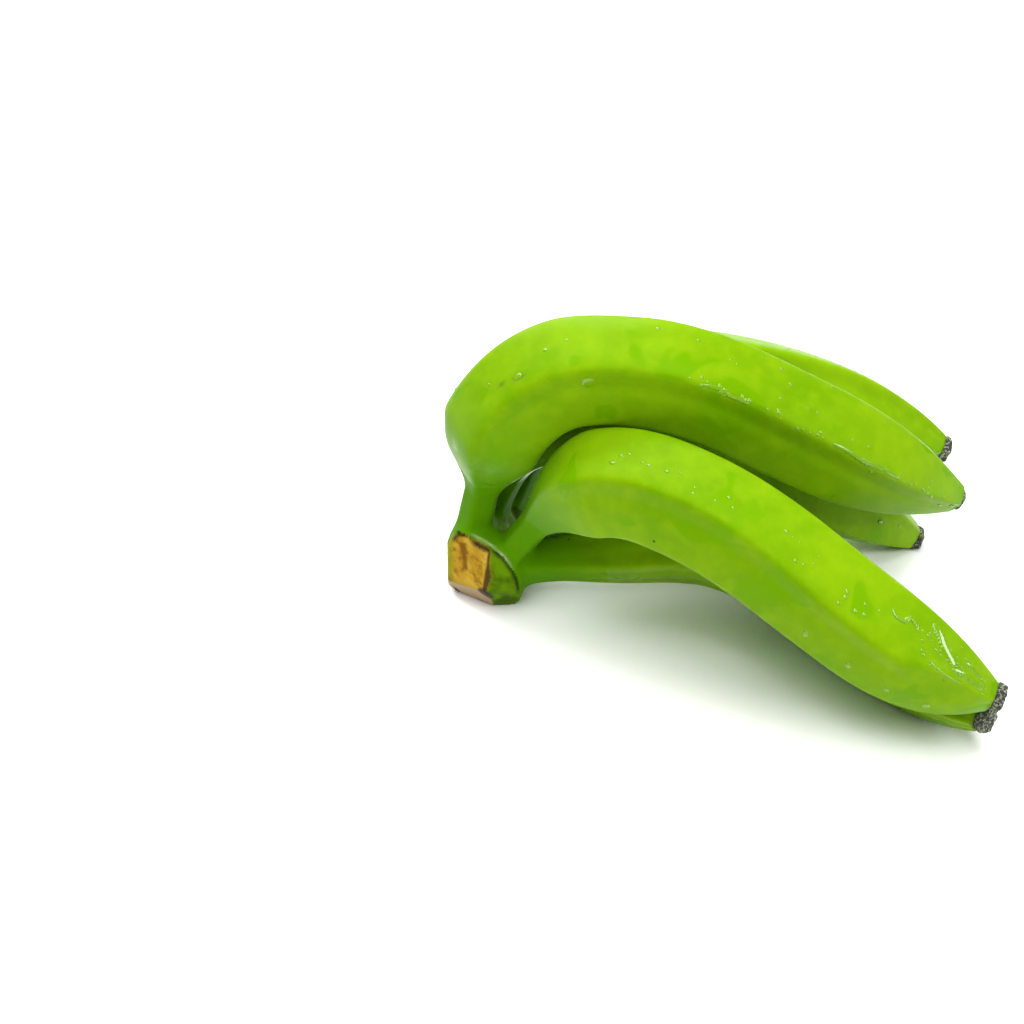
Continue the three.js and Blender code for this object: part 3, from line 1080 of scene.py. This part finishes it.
        # first the front in rings of its own, then back along the block
        steps = [(0, k / self.LID_RINGS) for k in range(1, self.LID_RINGS)]
        steps += [(k / self.BLOCK_RINGS, 1) for k in range(self.BLOCK_RINGS + 1)]
        rows = []
        for share, scale in steps:
            along = float(smooth(np.array(share)))
            wide = scale * (1 - (1 - self.back_share) * along)
            flat = (ring - self.middle) * wide + self.middle
            y = np.full(len(ring), self.front + share * (self.back - self.front))
            x = flat[:, 0] + self.back_shift * along
            rows.append(np.stack([x, y, flat[:, 1]], axis=1) + ORIGIN_SHIFT)
        tubes.append((self._trimmed(np.vstack(rows)), len(ring)))
        faces, start = [], 0
        for tube, sides in tubes:
            faces += tube_faces(len(tube) // sides, sides, start)
            start += len(tube)
        mesh = bpy.data.meshes.new("rough_crown")
        mesh.from_pydata((np.vstack([tube for tube, _ in tubes]) * MM).tolist(), [], faces)
        return add_object("rough_crown", mesh)

    def _wrapped(self) -> tuple[Array, Array]:
        """One skin round the rough form, moved onto the true distance.

        Returns:
            Its points in mm and its quads.
        """
        form = self._rough_form()
        remesh = form.modifiers.new("wrap", "REMESH")
        remesh.mode = "VOXEL"
        remesh.voxel_size = self.pitch * MM
        finer = form.modifiers.new("finer", "SUBSURF")
        finer.levels = finer.render_levels = 1
        graph = bpy.context.evaluated_depsgraph_get()
        mesh = bpy.data.meshes.new_from_object(form.evaluated_get(graph))
        bpy.data.objects.remove(form)
        points = np.empty(len(mesh.vertices) * 3)
        mesh.vertices.foreach_get("co", points)
        points = points.reshape(-1, 3) / MM
        quads = np.array([list(f.vertices) for f in mesh.polygons if len(f.vertices) == 4])
        for _ in range(self.STEPS):
            gap = self.distance(points)
            step = np.clip(gap, -self.LONGEST_STEP, self.LONGEST_STEP)
            points = points - step[:, None] * slope(self.distance, points, gap)
        return points, quads

    def build(self, finish: Finish) -> None:
        """Makes the crown piece.

        Args:
            finish: The crown's finish.
        """
        points, quads = self._wrapped()
        keep = np.ones(len(points), bool)
        beyond = np.zeros(len(points))
        neck = np.ones(len(points))
        for finger in self.fingers:
            _, _, share = line_distance(points, finger.at, 2 * finger.steps)
            s = share * finger.length
            on = np.abs(finger.distance(points, self.MEASURED)) < self.ON_NECK
            keep &= ~(on & (s > self.stub - self.OVERLAP))
            beyond = np.maximum(beyond, np.where(on, s, 0))
            neck = np.where(on, np.minimum(neck, neck_share(finger, s)), neck)
        marks = self._marks(points, beyond)
        marks["neck"] = neck
        outward = slope(self.distance, points, self.distance(points))
        tuck = self.TUCK * smooth((beyond - self.TUCK_FROM) / self.TUCK_LENGTH)
        lifted = self.LIP_HEIGHT * marks["lip"] - self.CRACK_DEPTH * marks["shaded_groove"]
        rough = 0.2 * lumps(points, 3.0) * marks["cut"] + 0.3 * lumps(points, 7.0) * marks["rind"]
        points = points + (lifted + rough - tuck)[:, None] * outward
        quads = quads[keep[quads].all(axis=1)]
        used = np.unique(quads)
        renumber = np.zeros(len(points), int)
        renumber[used] = np.arange(len(used))
        marks = {mark: values[used] for mark, values in marks.items()}
        piece = make_piece("crown_rind", points[used], renumber[quads].tolist(), finish, marks)
        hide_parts("crown")

    def _marks(self, points: Array, beyond: Array) -> dict[str, Array]:
        """Where the cuts, their rim, the leaf scar and the bruise lie.

        Args:
            points: Places in mm, one a row.
            beyond: How far along a neck each lies.

        Returns:
            One value a point by mark, from 0 to 1.
        """
        p = points - ORIGIN_SHIFT
        x, z = p[:, 0], p[:, 2]
        wavy = lumps(points, 4.0, 5.0)
        on_first = past(self.plane(points, 0), -0.45, 0.3)
        on_second = past(self.plane(points, 1), -0.45, 0.3)
        on_cut = np.maximum(on_first, on_second)
        # the cuts' dark rim, with a green edge in its place on the left
        left = short_of(x, -11.5, 2)
        near_edge = bell(np.minimum(self.body(points) + 0.25 + 0.3 * wavy, 0), 0.38)
        top_edge = bell(z - 33, 1.8) * past(x, -7, 4) * on_cut
        rim = np.maximum(on_cut * near_edge * (1 - left) * 0.9, top_edge)
        # which side of the leaf scar a place lies on, and how far from it
        gap, away, share = line_distance(p, self.scar_line)
        outward = unit(p - away - np.array(self.scar_middle))
        signed = gap * np.sign((away * outward).sum(axis=1))
        # brown down the streak and low on the first cut
        streak, _, _ = line_distance(p, self.streak)
        bruise, _, _ = line_distance(p, self.bruise)
        low = short_of(z, 15, 8) * on_first
        brown = np.maximum(smooth((1.9 - streak + 0.8 * wavy) / 1.2) * 0.8, 0.55 * low)
        return {
            "cut": on_first,
            "green_edge": on_first * left * 0.75,
            "foot": on_second * (1 - on_first),
            "brown": np.clip(brown * on_first, 0, 1),
            "rim": np.clip(rim, 0, 1),
            "bruise": smooth((3.2 - bruise + wavy) / 1.6) * 0.9,
            "lip": bell(signed, 0.6) * short_of(share, 0.62, 0.2) * past(share, 0.1, 0.1),
            # the groove just outside the lip, sunk into the skin and painted near-black as the
            # shade in it
            "shaded_groove": bell(signed + 0.9, 0.65) * short_of(share, 0.95, 0.1),
            "rind": (1 - on_cut) * short_of(signed, 0.5, 2) * short_of(beyond, 16, 10),
            "scar": np.zeros(len(points)),
        }


# Dried flower ends


@dataclass
class DriedEnd:
    """The shrivelled flower left on a finger's tip, a ragged crumbly stub, in mm."""

    finger: Finger
    seed: float
    sides: int = 72
    # its rings as shares of its length and its radius: up the wall, then into the hollow face
    wall: tuple = (
        (-0.6, 0.7), (-0.1, 0.84), (0.08, 0.93), (0.2, 0.98), (0.35, 1.0),
        (0.5, 1.0), (0.65, 1.0), (0.8, 0.99), (0.92, 0.95), (1.0, 0.88),
    )
    face: tuple = ((1.0, 0.8), (0.93, 0.7), (0.87, 0.58), (0.84, 0.45), (0.86, 0.3), (0.88, 0.15))
    # crumbs grow out over this share of the length, and less on stubs shorter than this
    FREE_FROM, FULL_LENGTH = 0.3, 3

    def build(self, finish: Finish) -> None:
        """Makes the piece that stands for the tip's dried end.

        Args:
            finish: The dried tissue's finish.
        """
        theta = -2 * np.pi * np.arange(self.sides) / self.sides
        end = self.finger
        rings = (*self.wall, *self.face)
        rows = []
        for along, wide in rings:
            ahead = RIM_LENGTH + GAP + along * end.dried
            rows.append(end.tip_ring(ahead, end.dried_radius * wide, theta))
        points = np.vstack(rows)
        away = unit(points - (end.at[-1] + end.along[-1] * 2))
        ragged = 0.8 * lumps(points, 2.6, self.seed) + 0.45 * lumps(points, 1.1, self.seed + 9)
        free = np.repeat([smooth(np.array(a / self.FREE_FROM)) for a, _ in rings], self.sides)
        points = points + away * (ragged * free * min(end.dried / self.FULL_LENGTH, 1))[:, None]
        faces = tube_faces(len(rings), self.sides)
        piece = make_piece(f"dried_flower_{end.name}", points, faces, finish)
        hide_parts(f"dried_end_{end.name}")


# Table, light and camera


@dataclass(frozen=True)
class SoftLight:
    """A square light, in metres and watts, that looks at the middle of the hand."""

    name: str
    at: tuple[float, float, float]
    size: float
    power: float

    def build(self) -> None:
        """Makes the light."""
        lamp = bpy.data.lights.new(self.name, "AREA")
        lamp.size = self.size
        lamp.energy = self.power
        light = add_object(self.name, lamp)
        light.location = self.at
        light.rotation_euler = (-Vector(self.at)).to_track_quat("-Z", "Y").to_euler()


@dataclass
class Studio:
    """A white table, an even white room, soft lights behind the hand, and the camera."""

    table_size: float = 8.0
    room_strength: float = 0.18
    lights: tuple[SoftLight, ...] = (
        SoftLight("ceiling", (0.0, -0.55, 2.0), 2.2, 68.0),
        SoftLight("window", (-0.5, 1.1, 1.3), 1.6, 48.0),
        SoftLight("lamp", (1.4, -0.5, 0.85), 0.5, 8.0),
    )
    camera_at: tuple[float, float, float] = (-0.0800, -0.6088, 0.5203)
    # degrees from straight down, and millimetres on a sensor of this width
    camera_tilt: float = 52.0
    camera_lens: float = 70.3125
    sensor: float = 36

    def build(self) -> None:
        """Makes the table, the lights and the camera."""
        half = self.table_size / 2
        mesh = bpy.data.meshes.new("table")
        corners = [(-half, -half, 0), (half, -half, 0), (half, half, 0), (-half, half, 0)]
        mesh.from_pydata(corners, [], [(0, 1, 2, 3)])
        mesh.materials.append(WhiteTable().material())
        table = add_object("table", mesh)
        world = bpy.data.worlds.new("white_room")
        world.use_nodes = True
        air = {"Color": (1, 1, 1, 1), "Strength": self.room_strength}
        set_inputs(world.node_tree, world.node_tree.nodes["Background"], air)
        bpy.context.scene.world = world
        for light in self.lights:
            light.build()
        lens = bpy.data.cameras.new("camera")
        lens.lens = self.camera_lens
        lens.sensor_width = self.sensor
        camera = add_object("camera", lens)
        camera.location = self.camera_at
        camera.rotation_euler = (math.radians(self.camera_tilt), 0, 0)
        bpy.context.scene.camera = camera
        bpy.context.scene.view_settings.view_transform = "Standard"


def plantain_fingers() -> list[Finger]:
    """The five fingers, in the order in which they press into each other."""
    return [
        Finger(
            "top", (-5, 8, 21.5), 261, 39, 57, 27, 6.5, 74, 2.3, 3, 1.5, 4.6,
            (82, 77, 54, 0, -30, -28), (-4, 4, -4, 3, 8), (-24, -19, -11, -17, -32),
            scars=((83, -109, 3, 2), (78, -104, 2, 1.2)),
        ),
        Finger(
            "inner", (-1.5, 21, 15.5), 223, 35, 102, 35, 7, 73, 2.4, 0.5, 3.2, 5.2,
            (77, 66, 17, -8, -31, -35), (6, 0, 3, 8, 7), (1, 4, 3, 9, 7),
        ),
        Finger(
            "back", (5.5, 34, 12.5), 230, 38.5, 90, 26, 7, 84, 2.4, 0.5, 3.8, 5.5,
            (71, 63, 26, -12, -18, -26), (13, 29, 20, 4, -3), (-4, -4, -9, -7, -5),
            scars=((182, -105, 9, 3), (190, -107, 8, 2.4), (197, -108, 6, 2)),
        ),
        Finger(
            "front", (6, 1, 19), 232, 38.6, 72, 25, 6, 64, 3, -0.5, 3.4, 5.2,
            (57, 58, 34, -6, -25, -16), (-37, -23, -29, -29, -13), (-10, -6, 2, -8, -12),
        ),
        Finger(
            "under", (11, 1.5, 19.2), 206, 37.5, 72, 4, 8.8, 77, 2.3, 0, 3.4, 5.2,
            (10, 6, 14, -5, -12, 5), (0, 5, -22, -49, -47), (18, 6, 9, 12, 2),
        ),
    ]


def main() -> None:
    """Builds the studio and every piece of the hand."""
    logging.basicConfig(level=logging.INFO, format="%(name)s: %(message)s")
    Studio().build()
    fingers = plantain_fingers()
    peel = PlantainPeel().material()
    for place, finger in enumerate(fingers):
        PeelPieces().build(finger, fingers[:place], peel)
    Crown(fingers).build(CutCrown().material())
    flower = DriedFlower().material()
    for place, finger in enumerate(fingers):
        DriedEnd(finger, 3.7 * place).build(flower)
    Water().build(fingers, WaterFilm().material())


if __name__ == "__main__":
    main()
